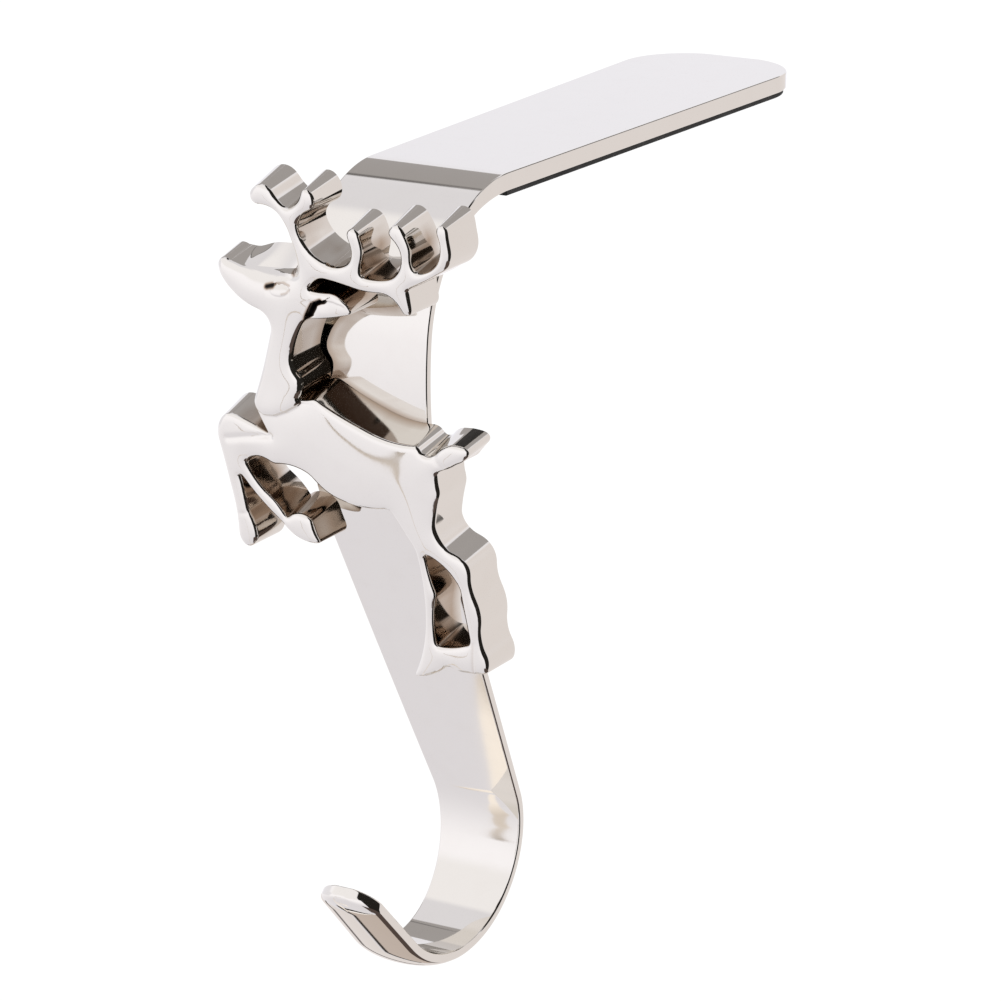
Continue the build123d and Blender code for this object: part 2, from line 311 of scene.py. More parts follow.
def bracket_path(b):
    """The bracket's line from the back end of the plate to the tip of the hook."""
    marks, cap = bracket_stations(b)
    radius = b.tip_width / 2
    plate_run = PLATE_END - PLATE_FRONT
    level = b.bend_turn + b.bow_turn - b.hook_turn
    lip = cap - b.tip_run - b.lip_radius * (b.lip_turn - level)
    rows = []
    for s in marks:
        y, z, heading = strap_point(b, s)
        t = min(max(s / b.thinning, 0.0), 1.0)
        thickness = b.plate_thickness + (b.strap_thickness - b.plate_thickness) * t * t * (3 - 2 * t)
        if s < 0.0:
            half_width = plate_half_width(b, s + plate_run)
        elif s > cap:
            half_width = radius * math.sqrt(max(1.0 - ((s - cap) / b.tip_depth) ** 2, 0.0))
        else:
            half_width = strap_width(b, s) / 2
        back = (0.0, math.cos(heading), math.sin(heading))
        middle = (0.0, y + back[1] * thickness / 2, z + back[2] * thickness / 2)
        from_end = min(s + plate_run, cap + b.tip_depth - s)
        lack = max(b.edge_round - from_end, 0.0)
        eased = b.edge_round - math.sqrt(b.edge_round ** 2 - lack ** 2)
        t = min(max((s - lip) / b.crown_rise, 0.0), 1.0)
        rows.append({
            "point": middle, "back": back, "half_width": half_width,
            "half_thickness": thickness / 2 - eased,
            "crown": t ** 3 * (10 - 15 * t + 6 * t * t) * min(half_width / radius, 1.0),
        })
    return path_mesh("bracket_path", closed_rows(rows))


def pad_path(b):
    """The pad's line from its back end to the bend."""
    inset = PLATE_END - PAD_HIGH.y
    thickness = PAD_HIGH.z - PAD_LOW.z
    quarter = np.linspace(0.0, math.pi / 2, 24)
    radius = b.corner_radius - inset
    marks = np.concatenate([radius * (1 - np.cos(quarter)), [PAD_HIGH.y - PLATE_FRONT]])
    rows = []
    for from_end in marks:
        rows.append({
            "point": (0.0, PAD_HIGH.y - from_end, thickness / 2), "back": (0.0, 0.0, -1.0),
            "half_width": plate_half_width(b, from_end + inset) - inset if from_end > 0.0
            else b.end_width / 2 - b.corner_radius,
            "half_thickness": thickness / 2,
        })
    return path_mesh("pad_path", closed_rows(rows))


# Node trees

def feed(tree, socket, value):
    """Links a socket to another, or sets its value."""
    if isinstance(value, bpy.types.NodeSocket):
        tree.links.new(value, socket)
    else:
        socket.default_value = value


def feed_named(tree, node, values):
    """Feeds a node's inputs by name."""
    for name, value in values.items():
        feed(tree, next(s for s in node.inputs if s.name == name and s.enabled), value)


def named_node(tree, kind, values, **options):
    """A node with its options set and its inputs fed by name; gives its outputs."""
    node = tree.nodes.new(kind)
    for key, value in options.items():
        setattr(node, key, value)
    feed_named(tree, node, values)
    return node.outputs


def add_node(tree, kind, *values, **options):
    """A node with its options set and its first inputs fed in order; gives its first output."""
    node = tree.nodes.new(kind)
    for key, value in options.items():
        setattr(node, key, value)
    for socket, value in zip((s for s in node.inputs if s.enabled), values):
        feed(tree, socket, value)
    return node.outputs[0]


def new_group(name, kind, inputs, outputs):
    """A node group with its sockets, and the outputs of its input node."""
    tree = bpy.data.node_groups.new(name, kind)
    for side, sockets in (("INPUT", inputs), ("OUTPUT", outputs)):
        for label, value in sockets.items():
            tree.interface.new_socket(label, in_out=side, socket_type="NodeSocket" + value)
    return tree, tree.nodes.new("NodeGroupInput").outputs


def end_shape(tree, shape, material):
    """Realizes a shape, gives it its material and makes it the tree's result."""
    real = named_node(tree, "GeometryNodeRealizeInstances", {"Geometry": shape})[0]
    coated = named_node(tree, "GeometryNodeSetMaterial", {"Geometry": real, "Material": material})[0]
    named_node(tree, "NodeGroupOutput", {"Geometry": coated})


def calc(tree, operation, *values):
    return add_node(tree, "ShaderNodeMath", *values, operation=operation)


def mix_colours(tree, mask, under, over):
    """Blends from one colour to another, each a socket or three numbers."""
    node = tree.nodes.new("ShaderNodeMix")
    node.data_type = "RGBA"
    feed(tree, node.inputs["Factor"], mask)
    for name, value in (("A_Color", under), ("B_Color", over)):
        socket = next(s for s in node.inputs if s.identifier == name)
        feed(tree, socket, value if isinstance(value, bpy.types.NodeSocket) else (*value, 1.0))
    return next(s for s in node.outputs if s.identifier == "Result_Color")


def strip_tree():
    """A flat strip with rounded edges that follows a path and takes its width and thickness from it."""
    name = "Rounded strip"
    if name in bpy.data.node_groups:
        return bpy.data.node_groups[name]
    tree, given = new_group(
        name, "GeometryNodeTree",
        {"Path": "Object", "Edge round": "Float", "Crown": "Float", "Corner steps": "Int",
         "Material": "Material"},
        {"Geometry": "Geometry"})
    path = named_node(tree, "GeometryNodeObjectInfo", {"Object": given["Path"]})["Geometry"]
    rows = named_node(tree, "GeometryNodeAttributeDomainSize", {"Geometry": path})["Point Count"]
    corner = calc(tree, "ADD", given["Corner steps"], 1.0)
    columns = calc(tree, "ADD", calc(tree, "MULTIPLY", corner, 4.0), 1.0)
    grid = named_node(tree, "GeometryNodeMeshGrid", {"Vertices X": rows, "Vertices Y": columns})["Mesh"]
    index = tree.nodes.new("GeometryNodeInputIndex").outputs[0]
    row = calc(tree, "FLOOR", calc(tree, "DIVIDE", index, columns))
    column = calc(tree, "SUBTRACT", index, calc(tree, "MULTIPLY", row, columns))
    quarter = calc(tree, "FLOOR", calc(tree, "DIVIDE", column, corner))
    within = calc(tree, "SUBTRACT", column, calc(tree, "MULTIPLY", quarter, corner))
    part = calc(tree, "DIVIDE", within, given["Corner steps"])
    turn = calc(tree, "MULTIPLY", calc(tree, "ADD", quarter, part), math.pi / 2)
    middle = calc(tree, "MULTIPLY", calc(tree, "ADD", quarter, 0.5), math.pi / 2)

    def at_row(field, kind):
        places = {"Geometry": path, "Value": field, "Index": row}
        sample = named_node(tree, "GeometryNodeSampleIndex", places, data_type=kind)
        return next(s for s in sample if s.enabled)

    def stored(key, kind):
        found = named_node(tree, "GeometryNodeInputNamedAttribute", {"Name": key}, data_type=kind)
        return at_row(next(s for s in found if s.name == "Attribute" and s.enabled), kind)

    half_width = stored("half_width", "FLOAT")
    half_thickness = stored("half_thickness", "FLOAT")
    back = stored("back", "FLOAT_VECTOR")
    centre = at_row(tree.nodes.new("GeometryNodeInputPosition").outputs[0], "FLOAT_VECTOR")
    room = calc(tree, "MINIMUM", half_width, half_thickness)
    radius = calc(tree, "MINIMUM", given["Edge round"], room)
    on_back = calc(tree, "GREATER_THAN", calc(tree, "SINE", middle), 0.0)
    crown = calc(tree, "MULTIPLY", stored("crown", "FLOAT"), on_back)
    bulge = calc(tree, "MULTIPLY", crown, given["Crown"])
    flat_width = calc(tree, "SUBTRACT", half_width, radius)
    wide = calc(tree, "ADD", radius, calc(tree, "MULTIPLY", crown, flat_width))
    deep = calc(tree, "ADD", radius, bulge)
    crowned = calc(tree, "ADD", half_thickness, bulge)

    def reach(half, round_off, trig):
        side = calc(tree, "SIGN", calc(tree, trig, middle))
        flat = calc(tree, "MULTIPLY", side, calc(tree, "SUBTRACT", half, round_off))
        return calc(tree, "ADD", flat, calc(tree, "MULTIPLY", round_off, calc(tree, trig, turn)))

    sideways = named_node(tree, "ShaderNodeCombineXYZ", {"X": reach(half_width, wide, "COSINE")})[0]
    inwards = named_node(
        tree, "ShaderNodeVectorMath", {"Vector": back, "Scale": reach(crowned, deep, "SINE")},
        operation="SCALE")["Vector"]
    offset = add_node(tree, "ShaderNodeVectorMath", sideways, inwards, operation="ADD")
    place = add_node(tree, "ShaderNodeVectorMath", centre, offset, operation="ADD")
    shape = named_node(tree, "GeometryNodeSetPosition", {"Geometry": grid, "Position": place})[0]
    shape = named_node(tree, "GeometryNodeMergeByDistance", {"Geometry": shape, "Distance": WELD})[0]
    shape = named_node(tree, "GeometryNodeFlipFaces", {"Mesh": shape})[0]
    shape = named_node(tree, "GeometryNodeSetShadeSmooth", {"Geometry": shape})[0]
    end_shape(tree, shape, given["Material"])
    return tree


def made_mesh(name, tree, values):
    """Runs a tree with its inputs set and keeps the result as a plain mesh object."""
    piece = bpy.data.objects.new(name, bpy.data.meshes.new(name))
    bpy.context.scene.collection.objects.link(piece)
    modifier = piece.modifiers.new("Shape", "NODES")
    modifier.node_group = tree
    for item in tree.interface.items_tree:
        if item.in_out == "INPUT" and item.name in values:
            modifier[item.identifier] = values[item.name]
    weighted = piece.modifiers.new("Normals", "WEIGHTED_NORMAL")
    weighted.weight = 100
    ready = piece.evaluated_get(bpy.context.evaluated_depsgraph_get())
    mesh = bpy.data.meshes.new_from_object(ready)
    piece.modifiers.clear()
    blank = piece.data
    piece.data = mesh
    bpy.data.meshes.remove(blank)
    mesh.name = name
    return piece


def screws_tree():
    """A copy of one screw on each point, turned to an axis."""
    name = "Screws on points"
    if name in bpy.data.node_groups:
        return bpy.data.node_groups[name]
    tree, given = new_group(
        name, "GeometryNodeTree",
        {"Points": "Object", "Screw": "Object", "Axis": "Vector", "Material": "Material"},
        {"Geometry": "Geometry"})
    points, screw = (
        named_node(tree, "GeometryNodeObjectInfo", {"Object": given[key]})["Geometry"]
        for key in ("Points", "Screw"))
    turn = named_node(tree, "FunctionNodeAlignRotationToVector", {"Vector": given["Axis"]}, axis="Z")
    copies = named_node(
        tree, "GeometryNodeInstanceOnPoints",
        {"Points": points, "Instance": screw, "Rotation": turn["Rotation"]})[0]
    end_shape(tree, copies, given["Material"])
    return tree


# A pan head: shares of its radius and height that are flat and straight, the widths in millimetres over
# which its slot falls to its depth, and the chamfer's share of the shank's radius
PAN_FLAT = 0.8
PAN_SIDE = 0.55
SLOT_SIDE = 0.08
SLOT_END = 0.3
SHANK_CHAMFER = 0.2


def screw_mesh(sizes, shank_length):
    """A pan head screw along Z, its head above the origin, with a cross slot and a chamfered shank."""
    radius = sizes.head_diameter / 2
    height = sizes.head_height
    spokes = 64
    rim = np.linspace(0.0, math.pi / 2, 9)[1:]
    profile = [(r * radius, height) for r in np.linspace(0.0, PAN_FLAT, 30)]
    for a in rim:
        out = PAN_FLAT + (1.0 - PAN_FLAT) * math.sin(a)
        profile.append((radius * out, height * (PAN_SIDE + (1.0 - PAN_SIDE) * math.cos(a))))
    shank = sizes.shank_diameter / 2
    chamfer = SHANK_CHAMFER * shank
    profile += [(radius, 0.0), (shank, 0.0), (shank, chamfer - shank_length)]
    profile += [(shank - chamfer, -shank_length)]
    points = []
    for r, z in profile:
        for k in range(spokes):
            x, y = (r * f(2 * math.pi * k / spokes) for f in (math.cos, math.sin))
            near, far = sorted((abs(x), abs(y)))
            from_side, from_end = sizes.slot_width / 2 - near, sizes.slot_length / 2 - far
            within = min(from_side / SLOT_SIDE, from_end / SLOT_END) / MM
            cut = min(max(within, 0.0), 1.0) if z == height else 0.0
            points.append((x, y, z - cut * sizes.slot_depth))
    faces = []
    for ring in range(len(profile) - 1):
        for k in range(spokes):
            here, ahead = ring * spokes + k, ring * spokes + (k + 1) % spokes
            faces.append((here, here + spokes, ahead + spokes, ahead))
    last = (len(profile) - 1) * spokes
    faces.append(tuple(range(last + spokes - 1, last - 1, -1)))
    mesh = bpy.data.meshes.new("screw")
    mesh.from_pydata(points, [], faces)
    shape = bmesh.new()
    shape.from_mesh(mesh)
    bmesh.ops.remove_doubles(shape, verts=shape.verts, dist=WELD)
    bmesh.ops.recalc_face_normals(shape, faces=shape.faces)
    shape.to_mesh(mesh)
    shape.free()
    mesh.shade_smooth()
    return mesh


def swept_piece(name, path, edge_round, crown, material):
    bpy.context.scene.collection.objects.link(path)
    piece = made_mesh(name, strip_tree(), {
        "Path": path, "Edge round": edge_round, "Crown": crown, "Corner steps": 12, "Material": material})
    bpy.data.objects.remove(path)
    return piece


# Materials: scales are per metre, reliefs in millimetres, and all else is a share

HAZE_SCALE = 300.0
HAZE_VARIATION = 0.4
HAZE_RELIEF = 0.02
CLOUDING = 0.06
BRACKET_BUMP = 0.05
FIGURE_BUMP = 0.1
SCREW_BUMP = 0.3
SCREW_ROUGHNESS = 0.3
RECESS_ROUGHNESS = 0.1
# Painted shadow, near black, in the deepest recesses and marks
PAINTED_SHADOW = (0.012, 0.01, 0.009)
CELL_SCALE = 2200.0
CELL_RELIEF = 0.08
CELL_BUMP = 0.6
SCUFF_SCALE = 260.0
SCUFF_GAIN = 2.6
SCUFF_POLISH = 0.35
PAD_ROUGHNESS = 0.9


def plating_group():
    """Plating on a polished casting: bright where the buff reaches; in the recesses rougher and darker, the
    roughness and some darkening being real dulling and the rest painted shade, going to painted shadow, near
    black, in the deepest.
    """
    name = "Polished plating"
    if name in bpy.data.node_groups:
        return bpy.data.node_groups[name]
    tree, given = new_group(
        name, "ShaderNodeTree",
        {"Bright": "Color", "Dull and shaded": "Color", "Roughness": "Float", "Variation": "Float", "Scale": "Float"},
        {"Color": "Color", "Roughness": "Float", "Height": "Float"})
    place = tree.nodes.new("ShaderNodeTexCoord").outputs["Object"]
    haze = named_node(
        tree, "ShaderNodeTexNoise", {"Vector": place, "Scale": given["Scale"], "Detail": 4.0})["Fac"]
    uneven = calc(tree, "SUBTRACT", haze, 0.5)
    # The recess share drives painted shade in the colour, with some real dulling, and the real rise in
    # roughness
    recess = named_node(tree, "ShaderNodeAttribute", {}, attribute_name="recess")["Fac"]
    cloud = calc(tree, "MULTIPLY", uneven, CLOUDING)
    deep = calc(tree, "MULTIPLY", calc(tree, "ADD", recess, cloud), 2.0)
    # painted shade: the recess colour mixed in by the recess share
    tint = mix_colours(tree, add_node(tree, "ShaderNodeClamp", deep), given["Bright"], given["Dull and shaded"])
    # painted shadow: near black where the recess share runs past one half
    shadow_share = add_node(tree, "ShaderNodeClamp", calc(tree, "SUBTRACT", deep, 1.0))
    spread = calc(tree, "MULTIPLY", uneven, given["Variation"])
    even = calc(tree, "MULTIPLY", given["Roughness"], calc(tree, "ADD", spread, 1.0))
    named_node(tree, "NodeGroupOutput", {
        "Color": mix_colours(tree, shadow_share, tint, PAINTED_SHADOW),
        "Roughness": calc(tree, "ADD", even, calc(tree, "MULTIPLY", recess, RECESS_ROUGHNESS)),
        "Height": haze})
    return tree


def new_material(name):
    """A material with its node tree and its shader."""
    material = bpy.data.materials.new(name)
    material.use_nodes = True
    tree = material.node_tree
    return material, tree, tree.nodes["Principled BSDF"]


def bumped(tree, height, strength, mm):
    """The surface's normal, bent by a height."""
    return named_node(
        tree, "ShaderNodeBump", {"Strength": strength, "Distance": mm * MM, "Height": height})["Normal"]


def plated_material(name, bright, dull_and_shaded, roughness, bump):
    material, tree, shader = new_material(name)
    effect = named_node(
        tree, "ShaderNodeGroup",
        {"Bright": (*bright, 1.0), "Dull and shaded": (*dull_and_shaded, 1.0), "Roughness": roughness,
         "Variation": HAZE_VARIATION, "Scale": HAZE_SCALE},
        node_tree=plating_group())
    feed_named(tree, shader, {
        "Metallic": 1.0, "Base Color": effect["Color"], "Roughness": effect["Roughness"],
        "Normal": bumped(tree, effect["Height"], bump, HAZE_RELIEF)})
    return material


def pad_material(f):
    """Matt black foam rubber with fine closed cells and paler scuffs."""
    material, tree, shader = new_material("pad_rubber")
    place = tree.nodes.new("ShaderNodeTexCoord").outputs["Object"]
    cells = named_node(tree, "ShaderNodeTexVoronoi", {"Vector": place, "Scale": CELL_SCALE})["Distance"]
    scuffs = named_node(
        tree, "ShaderNodeTexNoise", {"Vector": place, "Scale": SCUFF_SCALE, "Detail": 6.0})["Fac"]
    worn = calc(tree, "MULTIPLY", scuffs, scuffs)
    pale = tuple(SCUFF_GAIN * part for part in f.pad)
    feed_named(tree, shader, {
        "Base Color": mix_colours(tree, worn, tuple(f.pad), pale),
        "Roughness": calc(tree, "SUBTRACT", PAD_ROUGHNESS, calc(tree, "MULTIPLY", worn, SCUFF_POLISH)),
        "Normal": bumped(tree, cells, CELL_BUMP, CELL_RELIEF)})
    return material


# Reindeer figure. Marks on its face are in millimetres, across and up from the seat on the bow

ANTLER_FOOT = 23.6
ANTLER_FADE = 1.5
ROUND_ENDS = [(-16.6, 22.3, 3.2), (19.4, 1.8, 2.2)]
FOREHEAD = [(-11.4, 22.6), (-9.0, 22.6), (-5.4, 23.0)]
RUFF = [(-13.5, 3.8), (-12.8, 2.8), (-11.8, 2.2), (-10.0, 2.4), (-8.0, 3.3), (-6.4, 4.3), (-5.2, 5.4)]
EYE = (-7.45, 20.65)
EYE_REACH = (2.0, 1.15)
EYE_TILT = 6.0
EYE_CORNER = [(-9.15, 20.8), (-8.4, 21.0)]
EYE_LID = [(-8.3, 21.1), (-7.6, 21.4), (-6.6, 21.55), (-5.6, 21.4)]
EYE_RIM = [(-6.7, 20.2), (-6.0, 20.4), (-5.5, 20.9)]
BROW_MARK = [(-5.7, 22.85), (-5.2, 22.75)]
EAR_CREASE = [(-0.9, 19.9), (0.9, 20.0), (2.6, 19.6), (3.4, 18.8)]
NECK_CREASE = [(-0.9, 19.9), (-2.1, 19.3), (-3.1, 17.7), (-3.8, 16.4)]
KNEE_CREASE = [(-18.0, -2.1), (-15.8, -1.6), (-13.5, -1.2), (-11.2, -0.8)]
NEAR_HOOF_CREASE = [(-18.4, -13.3), (-15.8, -12.9)]
FAR_HOOF_CREASE = [(-11.2, -13.4), (-10.2, -12.4)]
HIND_HOOF_CREASE = [(17.5, -26.4), (17.2, -30.6)]
TAIL_CREASE = [(13.6, 0.9), (14.4, -0.3), (15.2, -1.2)]
TAIL_TIP = (18.6, 2.2)
TAIL_REACH = 3.2
TAIL_START = 16.8
TAIL_DIP = 0.2
SNOUT = (-17.0, 22.0)
SNOUT_REACH = 4.2
SNOUT_FADE = 2.0
BROW_REACH = 1.6
BROW_PASSES = 80
# Grooves in the face: marks, width and depth
GROOVES = [
    (KNEE_CREASE, 0.5, 0.3), (NEAR_HOOF_CREASE, 0.3, 0.1), (FAR_HOOF_CREASE, 0.3, 0.1),
    (HIND_HOOF_CREASE, 0.25, 0.12), (TAIL_CREASE, 0.5, 0.2),
]
# Painted shade in the deepest marks: marks, width and strength; at full strength it turns to painted shadow,
# near black
PAINTED_SHADE_MARKS = [
    (EYE_CORNER, 0.42, 1.0), (EYE_LID, 0.16, 0.35), (EYE_RIM, 0.16, 0.25), (BROW_MARK, 0.3, 0.7),
    (NECK_CREASE, 0.45, 1.0), (HIND_HOOF_CREASE, 0.2, 0.12),
]
# The mesh is finer beside these lines, and within a number of the eye's reaches
FINE_LINES = (RUFF, EAR_CREASE, NECK_CREASE, KNEE_CREASE)
FINE_REACH = 0.7
FINE_EYE = 1.3
# Reliefs: how sharply the face steps over each line and how far the step fades, with the ruff's roll and rim
RUFF_STEP, RUFF_FADE = 0.16, 2.0
RUFF_ROLL = 1.4
RUFF_RIM, RUFF_RIM_FADE = 0.2, 3.0
EAR_STEP, EAR_FADE, EAR_DEPTH = 0.1, 1.2, 0.3
NECK_STEP, NECK_FADE, NECK_DEPTH, NECK_LEAD = 0.1, 0.9, 0.9, 0.15
# The eye's forms, as shares of its reach and its depth
LID_ARCH, LID_FALL = 0.72, 0.14
SOCKET_DEPTH, SOCKET_EASE, SOCKET_CORNERS = 1.7, 1.5, 1.3
BALL_HEIGHT = 0.9
BALL_PLACE = (0.12, -0.12)
BALL_REACH = (0.75, 0.62)
# Slack for points that share a depth, for a point's own edges and for rays that leave the surface
DEPTH_SLACK = 0.002
EDGE_SLACK = 0.05
VIEW_SLACK = 0.03
# Rows of points along the outline: their insets on the face, and their places down the walls from 0 to 1
FACE_BANDS = (0.06, 0.16, 0.3)
FACE_MARGIN = 0.42
FACE_FADE = 1.1
MARK_FADE = 0.5
WALL_PARTS = (0.02, 0.06, 0.3, 0.65, 1.0)
BACK_SPACING = 1.2
BACK_MARGIN = 0.6
BACK_CLEARANCE = 0.02
SHARP_ANGLE = 50.0
# How much of the room beside the outline a row may take, inwards and outwards, and the snout's lack of draft
ROOM_IN = 0.3
ROOM_OUT = 0.45
SNOUT_STEEPER = 0.45
DRAFT_PASSES = 20
SHADE_PASSES = 3
# Painted shade on the walls begins on the first shaded row, where this much of the view is shut off
FIRST_SHADED = 2
SHADE_START = 0.32
SHADE_SPAN = 0.58
SHADE_MOST = 0.55
VIEW_RAYS = 20
VIEW_REACH = 40
# Passes that soften the outline, all of it, its round ends and the antler, and their steps in and out
SOFT_PASSES, END_PASSES, ANTLER_PASSES = 8, 40, 70
STEP_IN, STEP_OUT = 0.5, -0.515


def solid_triangles(node):
    """Welded points and triangles of a CAD node."""
    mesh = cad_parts[node].data
    points = np.zeros(len(mesh.vertices) * 3)
    mesh.vertices.foreach_get("co", points)
    mesh.calc_loop_triangles()
    corners = np.zeros(len(mesh.loop_triangles) * 3, dtype=np.int64)
    mesh.loop_triangles.foreach_get("vertices", corners)
    welded, where = np.unique(np.round(points.reshape(-1, 3), 7), axis=0, return_inverse=True)
    return welded, where.reshape(-1)[corners].reshape(-1, 3)


class FigurePlane:
    """The figure's own plane: across, up and out of its face, with the seat on the bow at the origin."""

    def __init__(self, b):
        points, self.triangles = solid_triangles("reindeer_figure")
        a, c, d = (points[self.triangles[:, k]] for k in range(3))
        normals = np.cross(c - a, d - a)
        areas = np.linalg.norm(normals, axis=1)
        kinds, where = np.unique(np.round(normals / areas[:, None], 2), axis=0, return_inverse=True)
        where = where.reshape(-1)
        face = where == np.argmax(np.bincount(where, areas) * (kinds[:, 1] < -0.9))
        out = normals[face].sum(axis=0)
        self.out = out / np.linalg.norm(out)
        self.up = np.array([0.0, self.out[2], -self.out[1]])
        lean = math.asin(-self.out[2])
        seat = b.bend_radius * b.bend_turn + b.bow_radius * (math.pi / 2 - b.bend_turn + lean)
        y, z, heading = strap_point(b, seat)
        self.origin = np.array([0.0, y, z])
        self.points = self.local(points)
        self.front = self.points[:, 2].max()
        self.back = self.points[:, 2].min()
        self.bow_radius = b.bow_radius

    def local(self, points):
        away = points - self.origin
        return np.stack([away[:, 0], away @ self.up, away @ self.out], axis=1)

    def world(self, local):
        across = np.array([1.0, 0.0, 0.0])
        return self.origin + local[:, :1] * across + local[:, 1:2] * self.up + local[:, 2:3] * self.out

    def rear(self, heights):
        """Depth of the figure's back at heights above the seat, hollowed to clear the bow."""
        bow = np.sqrt(self.bow_radius ** 2 - heights ** 2) - self.bow_radius
        return np.maximum(self.back, bow + BACK_CLEARANCE * MM)


def loops_at(plane, depth):
    """Closed loops of the solid's edges that lie at a depth, the longest first."""
    near = np.abs(plane.points[:, 2] - depth) < DEPTH_SLACK * MM
    links = {}
    for corners in plane.triangles:
        for i, j in zip(corners, np.roll(corners, -1)):
            if near[i] and near[j]:
                links.setdefault(int(i), set()).add(int(j))
                links.setdefault(int(j), set()).add(int(i))
    loops = []
    while links:
        loop = [next(iter(links))]
        while loop[-1] in links:
            ahead = [k for k in links.pop(loop[-1]) if k in links]
            if ahead:
                loop.append(ahead[0])
        loops.append(plane.points[loop][:, :2])
    return sorted(loops, key=len, reverse=True)


def loop_area(loop):
    x, y = loop.T
    return 0.5 * np.sum(x * np.roll(y, -1) - y * np.roll(x, -1))


def outward(loop):
    """Unit normals of a loop that point away from the solid on its left."""
    ahead = np.roll(loop, -1, axis=0) - np.roll(loop, 1, axis=0)
    ahead /= np.linalg.norm(ahead, axis=1)[:, None]
    return np.stack([ahead[:, 1], -ahead[:, 0]], axis=1)


def even_loop(loop, spacing):
    """The loop with evenly spaced points and softened corners, softest at snout, tail and antler."""
    closed = np.vstack([loop, loop[:1]])
    along = np.concatenate([[0.0], np.cumsum(np.linalg.norm(np.diff(closed, axis=0), axis=1))])
    count = int(round(along[-1] / spacing))
    marks = np.linspace(0.0, along[-1], count, endpoint=False)
    even = np.stack([np.interp(marks, along, closed[:, k]) for k in range(2)], axis=1)
    antler = np.clip((even[:, 1] / MM - ANTLER_FOOT) / ANTLER_FADE, 0.0, 1.0)[:, None]
    ends = np.zeros((count, 1))
    for x, y, reach in ROUND_ENDS:
        away = np.linalg.norm(even / MM - (x, y), axis=1)
        ends = np.maximum(ends, np.clip(reach - away, 0.0, 1.0)[:, None])
    steps = [(1.0, STEP_IN)] * SOFT_PASSES + [(ends, STEP_IN)] * END_PASSES
    steps += [(antler, STEP_IN), (antler, STEP_OUT)] * ANTLER_PASSES
    for weight, step in steps:
        middle = (np.roll(even, 1, axis=0) + np.roll(even, -1, axis=0)) / 2
        even = even + weight * step * (middle - even)
    return even


def clear_reach(points, ways, starts, ends):
    """Distance from each point along its way to the nearest of the segments."""
    reach = np.full(len(points), 1.0)
    run = ends - starts
    for i, (point, way) in enumerate(zip(points, ways)):
        gap = starts - point
        cross = way[0] * run[:, 1] - way[1] * run[:, 0]
        cross = np.where(np.abs(cross) < 1e-15, 1e-15, cross)
        along = (gap[:, 0] * run[:, 1] - gap[:, 1] * run[:, 0]) / cross
        part = (gap[:, 0] * way[1] - gap[:, 1] * way[0]) / cross
        hits = along[(along > EDGE_SLACK * MM) & (part >= 0.0) & (part <= 1.0)]
        if len(hits):
            reach[i] = hits.min()
    return reach


def inside(points, loops):
    """Which points lie inside the loops, by counting crossings."""
    odd = np.zeros(len(points), dtype=bool)
    for loop in loops:
        for (x0, y0), (x1, y1) in zip(loop, np.roll(loop, -1, axis=0)):
            spans = np.flatnonzero((points[:, 1] >= min(y0, y1)) & (points[:, 1] < max(y0, y1)))
            x = x0 + (points[spans, 1] - y0) * (x1 - x0) / (y1 - y0 or 1.0)
            odd[spans[points[spans, 0] < x]] ^= True
    return odd


def lattice(loops, spacing, margin):
    """Evenly packed points inside the loops, no nearer to them than the margin."""
    outline = np.vstack(loops)
    low, high = outline.min(axis=0), outline.max(axis=0)
    points = []
    for k, y in enumerate(np.arange(low[1], high[1], spacing * math.sqrt(0.75))):
        xs = np.arange(low[0] + (k % 2) * spacing / 2, high[0], spacing)
        points.append(np.stack([xs, np.full(len(xs), y)], axis=1))
    points = np.vstack(points)
    points = points[inside(points, loops)]
    tree = KDTree(len(outline))
    for k, (x, y) in enumerate(outline):
        tree.insert((x, y, 0.0), k)
    tree.balance()
    return points[[tree.find((x, y, 0.0))[2] > margin for x, y in points]]


def triangulated(points, loops):
    """Triangles between the points that lie inside the loops; the loops' points come first."""
    edges = []
    first = 0
    for loop in loops:
        count = len(loop)
        edges += [(first + k, first + (k + 1) % count) for k in range(count)]
        first += count
    result = delaunay_2d_cdt([Vector(p / MM) for p in points], edges, [], 0, 1e-6, True)
    faces, origins = result[2:4]
    firsts = [ids[0] if ids else -1 for ids in origins]
    triangles = np.array([[firsts[k] for k in face] for face in faces])
    triangles = triangles[(triangles >= 0).all(axis=1)]
    return triangles[inside(points[triangles].mean(axis=1), loops)]


class Membrane:
    """A sheet stretched over the triangles, for values that fade inwards from the outline."""

    def __init__(self, points, triangles):
        pairs = []
        weights = []
        self.mass = np.zeros(len(points))
        for k in range(3):
            i, j, o = (triangles[:, (k + n) % 3] for n in range(3))
            a, c = points[i] - points[o], points[j] - points[o]
            cross = np.abs(a[:, 0] * c[:, 1] - a[:, 1] * c[:, 0])
            pairs.append(np.stack([i, j]))
            weights.append(0.5 * (a * c).sum(axis=1) / np.maximum(cross, 1e-18))
            self.mass += np.bincount(i, cross / 6, len(points))
        self.i, self.j = np.hstack(pairs)
        self.weights = np.maximum(np.concatenate(weights), 0.0)

    def solved(self, edge_values, push, reach):
        """Values with the outline held, pushed towards a level and smoothed over the reach."""
        count = len(self.mass)
        weights = self.weights * reach ** 2
        free = np.arange(count) >= len(edge_values)

        def pulled(x):
            flow = weights * (x[self.i] - x[self.j])
            gain = np.bincount(self.i, flow, count) - np.bincount(self.j, flow, count)
            return free * (self.mass * x + gain)

        diagonal = self.mass + np.bincount(self.i, weights, count) + np.bincount(self.j, weights, count)
        x = np.zeros(count)
        x[:len(edge_values)] = edge_values
        rest = free * self.mass * push - pulled(x)
        step = rest / diagonal
        energy = rest @ step
        limit = 1e-12 * energy
        while energy > limit:
            moved = pulled(step)
            size = energy / (step @ moved)
            x += size * step
            rest -= size * moved
            fresh = rest @ (rest / diagonal)
            step = rest / diagonal + fresh / energy * step
            energy = fresh
        return x


